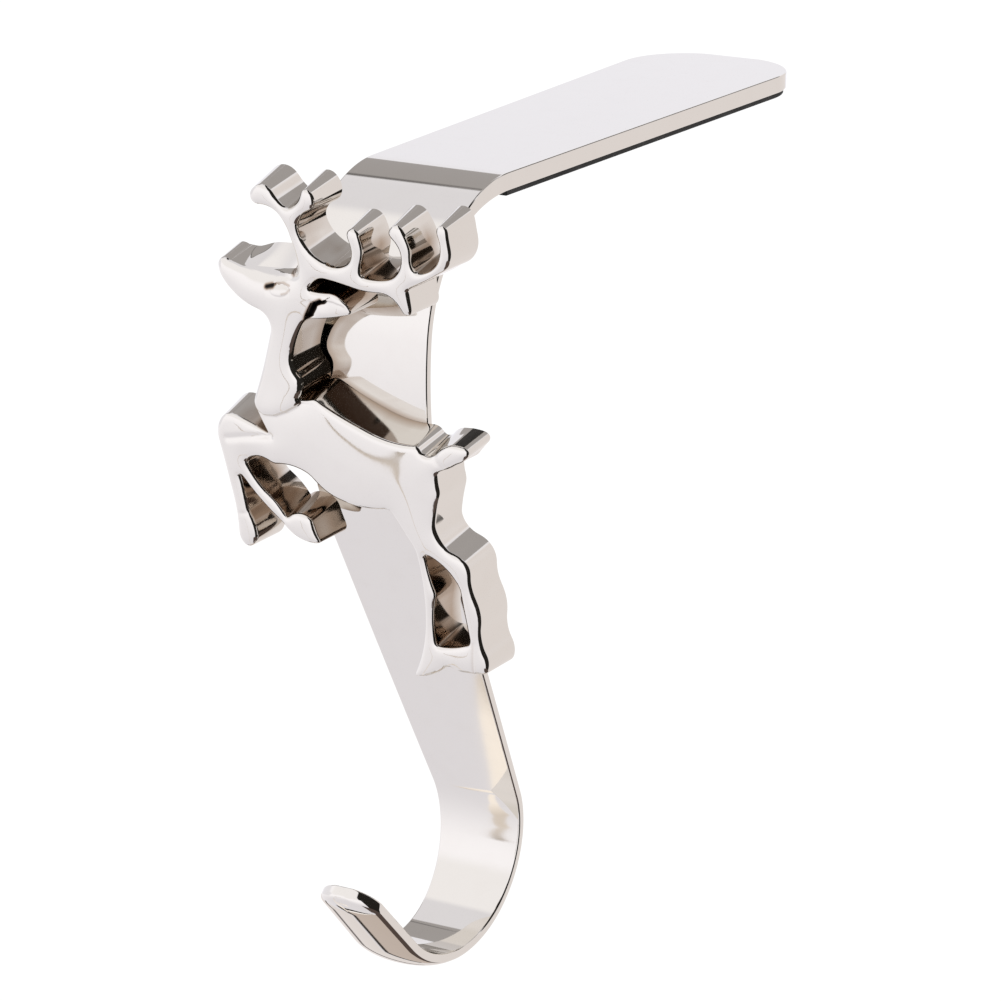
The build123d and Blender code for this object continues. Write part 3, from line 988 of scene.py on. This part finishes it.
def line_field(points, line):
    """Signed distance from a line of marks, positive on its left."""
    marks = np.array(line) * MM
    nearest = np.full(len(points), 1.0)
    signed = np.full(len(points), 1.0)
    for start, end in zip(marks, marks[1:]):
        run = end - start
        part = np.clip((points - start) @ run / (run @ run), 0.0, 1.0)
        away = points - start - part[:, None] * run
        distance = np.linalg.norm(away, axis=1)
        side = np.where(run[0] * away[:, 1] - run[1] * away[:, 0] >= 0.0, 1.0, -1.0)
        nearer = distance < nearest
        nearest = np.where(nearer, distance, nearest)
        signed = np.where(nearer, distance * side, signed)
    return signed


def stepped(signed, softness):
    """A soft step from 0 to 1 across a line."""
    return 0.5 + 0.5 * np.tanh(signed / softness)


def eye_place(points):
    """Places across and along the eye, 1 being its reach."""
    away = points / MM - EYE
    c, s = math.cos(math.radians(EYE_TILT)), math.sin(math.radians(EYE_TILT))
    across = (away[:, 0] * c + away[:, 1] * s) / EYE_REACH[0]
    return across, (away[:, 1] * c - away[:, 0] * s) / EYE_REACH[1]


def ruff_relief(points, g):
    """A collar that rolls over above its line, with the body falling away below."""
    signed = line_field(points, RUFF)
    above, below = np.maximum(signed, 0.0) / MM, np.maximum(-signed, 0.0) / MM
    over = stepped(signed, RUFF_STEP * MM)
    roll = above / RUFF_ROLL
    collar = roll * np.exp(1.0 - roll) + RUFF_RIM * np.exp(-above / RUFF_RIM_FADE)
    return over * g.ruff_rise * collar - (1.0 - over) * g.ruff_fall * np.exp(-below / RUFF_FADE)


def ear_relief(points):
    """The face lies lower below the ear."""
    signed = line_field(points, EAR_CREASE)
    below = np.maximum(-signed, 0.0) / MM
    return -(1.0 - stepped(signed, EAR_STEP * MM)) * EAR_DEPTH * MM * np.exp(-below / EAR_FADE)


def neck_relief(points):
    """A deep crease between ear and neck."""
    signed = line_field(points, NECK_CREASE) / MM
    fade = np.exp(-np.maximum(signed, 0.0) / NECK_FADE)
    return -NECK_DEPTH * MM * stepped(signed + NECK_LEAD, NECK_STEP) * fade


def eye_relief(points, g):
    """A socket under a lid, with the eyeball in it."""
    across, up = eye_place(points)
    lid = LID_ARCH * np.sqrt(np.maximum(1.0 - across ** 2, 0.0))
    under = np.clip((lid - up) / (lid + 1.0), 0.0, 1.0)
    socket = np.clip(under / LID_FALL, 0.0, 1.0) * (1.0 - under) ** SOCKET_EASE
    corners = np.clip(SOCKET_CORNERS * (1.0 - np.abs(across)), 0.0, 1.0) ** 0.5
    ball_x, ball_y = (across - BALL_PLACE[0]) / BALL_REACH[0], (up - BALL_PLACE[1]) / BALL_REACH[1]
    ball = np.maximum(1.0 - ball_x ** 2 - ball_y ** 2, 0.0)
    return g.eye_depth * (BALL_HEIGHT * np.sqrt(ball) - SOCKET_DEPTH * socket * corners)


def groove(points, line, width, depth):
    return -depth * MM * np.exp(-(line_field(points, line) / (width * MM)) ** 2)


def face_relief(points, g):
    """Height added to the face by the ruff, the eye, the ear and the creases."""
    relief = ruff_relief(points, g) + ear_relief(points) + eye_relief(points, g) + neck_relief(points)
    return relief + sum(groove(points, *marks) for marks in GROOVES)


def face_painted_shade(points):
    """Share of painted shade in the face's deepest marks."""
    stains = [
        strength * np.exp(-(line_field(points, line) / (width * MM)) ** 4)
        for line, width, strength in PAINTED_SHADE_MARKS
    ]
    return np.max(stains, axis=0)


def shut_in(points, ways, meshes):
    """Share of the view from each point that the meshes shut off."""
    spots, polygons = [], []
    for mesh in meshes:
        first = len(spots)
        spots += [v.co.copy() for v in mesh.vertices]
        polygons += [[first + k for k in p.vertices] for p in mesh.polygons]
    tree = BVHTree.FromPolygons(spots, polygons)
    steps = np.arange(VIEW_RAYS) + 0.5
    rise = np.sqrt(1.0 - steps / VIEW_RAYS)
    out = np.sqrt(steps / VIEW_RAYS)
    turn = steps * math.pi * (3.0 - math.sqrt(5.0))
    closed = np.zeros(len(points))
    for i, (point, way) in enumerate(zip(points, ways)):
        side = np.cross(way, (0.0, 0.0, 1.0) if abs(way[2]) < 0.9 else (1.0, 0.0, 0.0))
        side /= np.linalg.norm(side)
        other = np.cross(way, side)
        sideways = np.outer(out * np.cos(turn), side) + np.outer(out * np.sin(turn), other)
        start = Vector(point + VIEW_SLACK * MM * way)
        rays = np.outer(rise, way) + sideways
        hits = [tree.ray_cast(start, Vector(ray), VIEW_REACH * MM)[0] for ray in rays]
        closed[i] = sum(hit is not None for hit in hits) / VIEW_RAYS
    return closed


def fine_marks(points):
    """Which points are close enough to a mark to need a finer mesh."""
    near = np.hypot(*eye_place(points)) < FINE_EYE
    for line in FINE_LINES:
        near |= np.abs(line_field(points, line)) < FINE_REACH * MM
    return near


def per_loop(values, loops):
    """Values along the whole outline, parted into those of each loop."""
    return np.split(values, np.cumsum([len(loop) for loop in loops])[:-1])


def smoothed(values, loops, passes):
    """Values along the loops, each averaged with its neighbours in every pass."""
    for k in range(passes):
        parts = per_loop(values, loops)
        values = np.concatenate([(np.roll(p, 1) + 2 * p + np.roll(p, -1)) / 4 for p in parts])
    return values


def ring_quads(upper, lower, loops):
    """Faces between two rows of points that run along the loops."""
    quads = []
    first = 0
    for loop in loops:
        count = len(loop)
        for i in range(count):
            j = (i + 1) % count
            quads.append((upper + first + i, lower + first + i, lower + first + j, upper + first + j))
        first += count
    return quads


def figure_outline(plane, g):
    """The outline's points and loops, and the share of forehead, tail and snout at each point."""
    loops = [even_loop(loop, g.ring_spacing) for loop in loops_at(plane, plane.front - g.edge_drop)]
    loops = [loop if (loop_area(loop) > 0) == (k == 0) else loop[::-1] for k, loop in enumerate(loops)]
    ring = np.vstack(loops)
    brow = np.clip(BROW_REACH - np.abs(line_field(ring, FOREHEAD)) / MM, 0.0, 1.0)
    brow = smoothed(brow, loops, BROW_PASSES)
    tail = np.clip(TAIL_REACH - np.linalg.norm(ring / MM - TAIL_TIP, axis=1), 0.0, 1.0)
    ring[:, 1] -= TAIL_DIP * tail * np.maximum(ring[:, 0] - TAIL_START * MM, 0.0)
    snout = np.clip((SNOUT_REACH - np.linalg.norm(ring / MM - SNOUT, axis=1)) / SNOUT_FADE, 0.0, 1.0)
    ways = np.vstack([outward(loop) for loop in loops])
    ring += ways * (g.snout_lead * snout * np.maximum(-ways[:, 0], 0.0))[:, None]
    return ring, per_loop(ring, loops), brow, tail, snout


def add_tarnish_and_shade(mesh, flat, loops, neighbours):
    """A layer of painted shade in the marks of the face, and of painted shade with some real dulling where
    the walls are shut in.
    """
    count = sum(len(loop) for loop in loops)
    rows = [slice(len(flat) + k * count, len(flat) + (k + 1) * count) for k in range(len(WALL_PARTS))]
    spots = np.array([list(v.co) for v in mesh.vertices])
    normals = np.array([list(n.vector) for n in mesh.vertex_normals])
    tarnish_and_shade = np.zeros(len(spots))
    tarnish_and_shade[:len(flat)] = face_painted_shade(flat)
    closed = [shut_in(spots[row], normals[row], [mesh, *neighbours]) for row in rows[FIRST_SHADED:]]
    for row, values in zip(rows, [closed[0]] * FIRST_SHADED + closed):
        values = smoothed(values, loops, SHADE_PASSES)
        tarnish_and_shade[row] = np.clip((values - SHADE_START) / SHADE_SPAN, 0.0, SHADE_MOST)
    layer = mesh.attributes.new("recess", "FLOAT", "POINT")
    layer.data.foreach_set("value", tarnish_and_shade)


def figure_mesh(b, g, neighbours):
    """The reindeer: a crowned face inside its outline, drafted walls and a back hollowed for the bow."""
    plane = FigurePlane(b)
    ring, loops, brow, tail, snout = figure_outline(plane, g)
    ends = np.vstack([np.roll(loop, -1, axis=0) for loop in loops])
    ways = np.vstack([outward(loop) for loop in loops])
    room_in = clear_reach(ring, -ways, ring, ends)
    room_out = clear_reach(ring, ways, ring, ends)

    # Face: rounded at the outline, gently crowned, with the marks pressed in
    bands = [ring - ways * np.minimum(inset * MM, ROOM_IN * room_in)[:, None] for inset in FACE_BANDS]
    coarse = lattice(loops, g.spacing, FACE_MARGIN * MM)
    fine = lattice(loops, g.spacing / 2, FACE_MARGIN * MM)
    flat = np.vstack([ring, *bands, coarse[~fine_marks(coarse)], fine[fine_marks(fine)]])
    triangles = triangulated(flat, loops)
    sheet = Membrane(flat, triangles)
    level = sheet.solved(np.zeros(len(ring)), 1.0, g.softness)
    depth = -g.softness * np.log(np.maximum(1.0 - level, 1e-9))
    rounding = 1.0 - np.minimum(depth / g.edge_radius, 1.0)
    height = (g.edge_drop - g.crown) * np.sqrt(1.0 - rounding ** 2)
    height += g.crown * (1.0 - np.exp(-depth / g.crown_width))
    height -= sheet.solved(brow * g.brow_drop + snout * g.snout_drop, 0.0, FACE_FADE * MM)
    height += face_relief(flat, g) * np.minimum(depth / (MARK_FADE * MM), 1.0)
    face = np.column_stack([flat, plane.front - g.edge_drop + height])
    faces = [tuple(t) for t in triangles]

    # Walls: drafted, down to a back that is hollowed for the bow
    draft = g.wall_draft * (1.0 - tail) * (1.0 - SNOUT_STEEPER * snout)
    spread = smoothed(np.minimum(draft, ROOM_OUT * room_out), loops, DRAFT_PASSES) + brow * g.brow_lean
    top = face[:len(ring), 2]
    rows = []
    upper = 0
    for k, part in enumerate(WALL_PARTS):
        place = ring + ways * (spread * part)[:, None]
        rows.append(np.column_stack([place, top + (plane.rear(place[:, 1]) - top) * part]))
        lower = len(face) + k * len(ring)
        faces += ring_quads(upper, lower, loops)
        upper = lower
    back_ring = rows[-1][:, :2]
    back_loops = per_loop(back_ring, loops)
    filling = lattice(back_loops, BACK_SPACING * MM, BACK_MARGIN * MM)
    back_flat = np.vstack([back_ring, filling])
    faces += [tuple(upper + t[::-1]) for t in triangulated(back_flat, back_loops)]
    rear = np.column_stack([filling, plane.rear(filling[:, 1])])

    mesh = bpy.data.meshes.new("reindeer")
    mesh.from_pydata(plane.world(np.vstack([face, *rows, rear])).tolist(), [], faces)
    mesh.validate()
    mesh.shade_smooth()
    mesh.set_sharp_from_angle(angle=math.radians(SHARP_ANGLE))
    add_tarnish_and_shade(mesh, flat, loops, neighbours)
    return mesh


# Operators

class HOLDER_OT_bracket(bpy.types.Operator):
    """Make the plate, strap and hook as one rounded strip"""

    bl_idname = "holder.bracket"
    bl_label = "Bracket"

    def execute(self, context):
        s = settings()
        f = s.finishes
        material = plated_material(
            "bracket_plating", f.plating, f.tarnish_and_shade, f.plating_roughness, BRACKET_BUMP)
        b = s.bracket
        piece = swept_piece("bracket_strip", bracket_path(b), b.edge_round, b.lip_crown, material)
        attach(piece, "root")
        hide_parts("bracket")
        return {"FINISHED"}


class HOLDER_OT_pad(bpy.types.Operator):
    """Make the non-slip pad under the plate"""

    bl_idname = "holder.pad"
    bl_label = "Pad"

    def execute(self, context):
        s = settings()
        material = pad_material(s.finishes)
        b = s.bracket
        piece = swept_piece("pad_sheet", pad_path(b), b.pad_round, 0.0, material)
        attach(piece, "root")
        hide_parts("non_slip_pad")
        return {"FINISHED"}


class HOLDER_OT_figure(bpy.types.Operator):
    """Make the cast reindeer with its rounded face"""

    bl_idname = "holder.figure"
    bl_label = "Reindeer"

    def execute(self, context):
        s = settings()
        f = s.finishes
        strip = bpy.data.objects.get("bracket_strip")
        mesh = figure_mesh(s.bracket, s.figure, [strip.data] if strip else [])
        mesh.materials.append(
            plated_material("figure_plating", f.plating, f.tarnish_and_shade, f.plating_roughness, FIGURE_BUMP))
        piece = bpy.data.objects.new("reindeer_casting", mesh)
        context.scene.collection.objects.link(piece)
        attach(piece, "root")
        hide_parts("reindeer_figure")
        return {"FINISHED"}


class HOLDER_OT_screws(bpy.types.Operator):
    """Make the two screws behind the strap"""

    bl_idname = "holder.screws"
    bl_label = "Screws"

    def execute(self, context):
        s = settings()
        f = s.finishes
        plane = FigurePlane(s.bracket)
        solid = plane.local(solid_triangles("fixing_screws")[0])
        low, high = solid.min(axis=0), solid.max(axis=0)
        half = (high[0] - low[0] - s.screws.head_diameter) / 2
        seat = low[2] + s.screws.head_height
        spots = np.array([(side * half, (low[1] + high[1]) / 2, seat) for side in (-1, 1)])
        points = bpy.data.meshes.new("screw_points")
        points.from_pydata(plane.world(spots).tolist(), [], [])
        scratch = [
            bpy.data.objects.new("screw_points", points),
            bpy.data.objects.new("screw", screw_mesh(s.screws, high[2] - seat)),
        ]
        for thing in scratch:
            context.scene.collection.objects.link(thing)
        material = plated_material("screw_zinc", f.screw, f.tarnish_and_shade, SCREW_ROUGHNESS, SCREW_BUMP)
        piece = made_mesh("screws", screws_tree(), {
            "Points": scratch[0], "Screw": scratch[1], "Axis": tuple(-plane.out), "Material": material})
        for thing in scratch:
            bpy.data.objects.remove(thing)
        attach(piece, "root")
        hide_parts("fixing_screws")
        return {"FINISHED"}


class HOLDER_OT_stage(bpy.types.Operator):
    """Set up the floor, the studio light and the camera"""

    bl_idname = "holder.stage"
    bl_label = "Studio"

    def execute(self, context):
        s = settings().stage
        make_camera(s)
        make_world()
        make_cards()
        make_floor(s)
        context.scene.view_settings.view_transform = "Standard"
        return {"FINISHED"}


WHITE = (1.0, 1.0, 1.0, 1.0)
FLOOR_COLOUR = (0.25, 0.25, 0.25, 1.0)
FLOOR_GLOW = 0.8
FLOOR_HALF = 2.0
# Where the camera looks, in millimetres, and the width of its sensor
TARGET = (14.25, -51.25, -39.41)
SENSOR = 36.0


def make_camera(s):
    """The camera at the photograph's angle, looking at a point beside the strap."""
    level = math.cos(s.elevation)
    back = Vector((math.sin(s.azimuth) * level, -math.cos(s.azimuth) * level, math.sin(s.elevation)))
    right = Vector((math.cos(s.azimuth), math.sin(s.azimuth), 0.0))
    up = back.cross(right)
    target = Vector(TARGET) * MM
    data = bpy.data.cameras.new("camera")
    data.sensor_width = SENSOR
    data.lens = s.lens
    data.clip_start = 0.01
    camera = bpy.data.objects.new("camera", data)
    turn = Matrix((right, up, back)).transposed().to_4x4()
    camera.matrix_world = Matrix.Translation(target + back * s.distance) @ turn
    bpy.context.scene.collection.objects.link(camera)
    bpy.context.scene.camera = camera


# Panels of the studio by direction: label, turn from straight back, positive to the right, and height above
# the horizon, in degrees; then colour and softness of the edges
STUDIO = [
    ("back screen", (-110, 60), (-14, 23), (1.0, 1.0, 1.07), 5),
    ("warm screen", (-5, 58), (-70, 40), (0.92, 0.874, 0.872), 4),
    ("overhead panel, left", (-190, -95), (25, 82), (1.12, 1.11, 1.14), 8),
    ("overhead panel, front", (150, 190), (30, 82), (1.12, 1.11, 1.14), 4),
    ("grey screen, back left", (-75, -30), (21, 44), (0.44, 0.42, 0.42), 0.5),
    ("dark bar, back left", (-75, -41), (43.5, 45.5), (0.2, 0.19, 0.19), 0.6),
    ("grey screen, back", (-45, 48), (44.5, 64), (0.44, 0.42, 0.42), 0.5),
    ("pale strip, low", (-62, 0), (-55, -18), (0.9, 0.85, 0.84), 1.5),
    ("dark strip, low", (-66, -30), (-43, -40), (0.2, 0.18, 0.18), 0.6),
    ("brown board, low", (-72, 30), (-85, -57), (0.66, 0.57, 0.52), 0.8),
    ("dark rim of the board", (-76, -25), (-58, -55.8), (0.04, 0.034, 0.03), 0.5),
    ("dark end of the board", (-78, -71), (-82, -56), (0.04, 0.034, 0.03), 0.8),
    ("bright end of the board", (-71, -66), (-82, -59), (1.2, 1.16, 1.14), 0.8),
    ("dark corner, back right", (-12, 27), (26, 41), (0.22, 0.21, 0.21), 1),
    ("dark screen, right", (59, 140), (-60, 90), (0.02, 0.018, 0.016), 1.5),
    ("dark board, low right", (14, 165), (-84, -48), (0.1, 0.074, 0.066), 2),
    ("dark panel, overhead right", (100, 148), (34, 90), (0.02, 0.018, 0.016), 2),
    ("dark panel, overhead back", (-25, 110), (66, 95), (0.03, 0.026, 0.022), 2),
]
# The light around those panels, and the heights between which one light passes into the next
FLOOR_LIGHT = (0.925, 0.914, 0.978)
WALL_LIGHT = (1.23, 1.225, 1.29)
CEILING_LIGHT = (0.92, 0.915, 0.97)
FLOOR_TO_WALL = (-62, 12)
WALL_TO_CEILING = (30, 50)

# Flat sheets well below the holder, two on the floor and one above it, seen only in the plating: the level
# and rows of two corners (x, y), all in millimetres, with a colour for each row
BROWN = (0.4, 0.33, 0.27)
TAN = (0.86, 0.77, 0.69)
CREAM = (1.22, 1.13, 1.04)
CARDS = {
    "table_card": (-280.0, [
        ((-113, -94), (-109, -94), TAN),
        ((-109, -85), (-103, -86), CREAM),
        ((-101, -71), (-95, -71), CREAM)]),
    "brown_card": (-279.5, [
        ((-112, -94), (-109, -91), BROWN),
        ((-103, -82), (-102, -82), CREAM)]),
    "runner_card": (-150.0, [
        ((-31.5, -53), (-30.5, -53), CREAM),
        ((-35.5, -72), (-33, -68), CREAM),
        ((-46, -104), (-38, -91), TAN),
        ((-69.5, -158), (-60, -143), TAN),
        ((-278, -561), (-180, -379), BROWN)]),
}


def make_cards():
    """The sheets, each a strip of quads that glows in the colours of its rows."""
    material, tree, shader = new_material("card")
    tree.nodes.remove(shader)
    shade = named_node(tree, "ShaderNodeAttribute", {}, attribute_name="shade")["Color"]
    glow = add_node(tree, "ShaderNodeEmission", shade)
    feed_named(tree, tree.nodes["Material Output"], {"Surface": glow})
    for name, (level, rows) in CARDS.items():
        mesh = bpy.data.meshes.new(name)
        corners = [Vector((*corner, level)) * MM for left, right, tint in rows for corner in (left, right)]
        quads = [(k, k + 1, k + 3, k + 2) for k in range(0, len(corners) - 2, 2)]
        mesh.from_pydata(corners, [], quads)
        colours = mesh.attributes.new("shade", "FLOAT_COLOR", "POINT")
        colours.data.foreach_set("color", [part for row in rows for part in (*row[2], 1.0) * 2])
        mesh.materials.append(material)
        card = bpy.data.objects.new(name, mesh)
        card.visible_camera = False
        card.visible_diffuse = False
        card.visible_shadow = False
        bpy.context.scene.collection.objects.link(card)
        card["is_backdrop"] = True


def make_world():
    """The studio's panels for the plating's reflections, and plain white for all else."""
    world = bpy.data.worlds.new("studio")
    world.use_nodes = True
    bpy.context.scene.world = world
    tree = world.node_tree
    tree.nodes.clear()
    way = tree.nodes.new("ShaderNodeTexCoord").outputs["Generated"]
    x, y, z = named_node(tree, "ShaderNodeSeparateXYZ", {"Vector": way})
    degree = math.degrees(1.0)
    turn = calc(tree, "MULTIPLY", calc(tree, "ARCTAN2", x, y), degree)
    height = calc(tree, "MULTIPLY", calc(tree, "ARCSINE", z), degree)

    def ramp(value, low, high):
        return named_node(
            tree, "ShaderNodeMapRange", {"Value": value, "From Min": low, "From Max": high},
            interpolation_type="SMOOTHSTEP")["Result"]

    def within(value, low, high, edge):
        rise = ramp(value, low - edge, low + edge)
        return calc(tree, "MULTIPLY", rise, ramp(value, high + edge, high - edge))

    light = mix_colours(tree, ramp(height, *FLOOR_TO_WALL), FLOOR_LIGHT, WALL_LIGHT)
    light = mix_colours(tree, ramp(height, *WALL_TO_CEILING), light, CEILING_LIGHT)
    for name, turns, heights, shade, edge in STUDIO:
        mask = calc(tree, "MULTIPLY", within(turn, *turns, edge), within(height, *heights, edge))
        light = mix_colours(tree, mask, light, shade)
        light.node.label = name
    plain = add_node(tree, "ShaderNodeBackground", WHITE)
    studio = add_node(tree, "ShaderNodeBackground", light)
    mirrored = tree.nodes.new("ShaderNodeLightPath").outputs["Is Glossy Ray"]
    sky = add_node(tree, "ShaderNodeMixShader", mirrored, plain, studio)
    named_node(tree, "ShaderNodeOutputWorld", {"Surface": sky})


def make_floor(s):
    """A plain pale floor below the hook: its own brightness and a little of the light that reaches it."""
    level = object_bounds()[0].z - s.floor_gap
    mesh = bpy.data.meshes.new("floor")
    corners = [(x * FLOOR_HALF, y * FLOOR_HALF, level) for x, y in ((-1, -1), (1, -1), (1, 1), (-1, 1))]
    mesh.from_pydata(corners, [], [(0, 1, 2, 3)])
    material, tree, shader = new_material("floor_white")
    feed_named(tree, shader, {
        "Base Color": FLOOR_COLOUR, "Roughness": 1.0, "Specular IOR Level": 0.0,
        "Emission Color": WHITE, "Emission Strength": FLOOR_GLOW})
    mesh.materials.append(material)
    floor = bpy.data.objects.new("floor", mesh)
    floor.visible_glossy = False
    bpy.context.scene.collection.objects.link(floor)
    floor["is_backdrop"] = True


class HOLDER_PT_panel(bpy.types.Panel):
    """Lists the pieces in the sidebar"""

    bl_label = "Stocking holder"
    bl_idname = "HOLDER_PT_panel"
    bl_space_type = "VIEW_3D"
    bl_region_type = "UI"
    bl_category = "Stocking holder"

    def draw(self, context):
        for operator in OPERATORS:
            self.layout.operator(operator.bl_idname)
        s = settings()
        for group in (s.bracket, s.figure, s.screws, s.finishes, s.stage):
            box = self.layout.box()
            for name in group.__annotations__:
                box.prop(group, name)


OPERATORS = (HOLDER_OT_bracket, HOLDER_OT_pad, HOLDER_OT_figure, HOLDER_OT_screws, HOLDER_OT_stage)
GROUPS = (BracketSizes, FigureSizes, ScrewSizes, Finishes, StageSizes, HolderSettings)
CLASSES = (*GROUPS, *OPERATORS, HOLDER_PT_panel)


def register():
    for cls in CLASSES:
        bpy.utils.register_class(cls)
    bpy.types.Scene.stocking_holder = PointerProperty(type=HolderSettings)


def unregister():
    del bpy.types.Scene.stocking_holder
    for cls in reversed(CLASSES):
        bpy.utils.unregister_class(cls)


def main():
    register()
    bpy.ops.holder.bracket()
    bpy.ops.holder.pad()
    bpy.ops.holder.figure()
    bpy.ops.holder.screws()
    bpy.ops.holder.stage()


if __name__ == "__main__":
    main()
